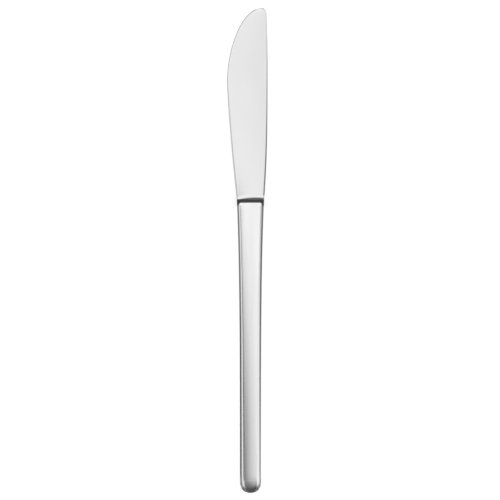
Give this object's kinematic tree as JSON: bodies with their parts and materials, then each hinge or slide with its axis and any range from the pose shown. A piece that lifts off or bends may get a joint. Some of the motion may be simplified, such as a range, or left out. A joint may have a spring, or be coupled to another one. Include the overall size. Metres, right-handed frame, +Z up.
{
  "type": "table knife",
  "caption": "Stainless table knife with a broad round-bellied blade, a narrow bolster and a slim flat-faced hollow handle that narrows behind its mouth.",
  "frame": {"origin": "on the flat face that the knife lies on, under the middle of the handle's length and centre line", "axes": "+Y along the knife from the handle to the tip, -X towards the cutting edge, +Z up out of the face that is seen"},
  "size_m": [0.0197, 0.236, 0.007],
  "materials": {
    "blade_steel": "polished",
    "handle_steel": "satin",
    "braze_alloy": "satin",
    "cement": "matte"
  },
  "bodies": {
    "root": {"blade": "blade_steel", "front_shell": "handle_steel", "back_shell": "handle_steel", "seam_braze": "braze_alloy", "cement_core": "cement"}
  },
  "joints": []
}
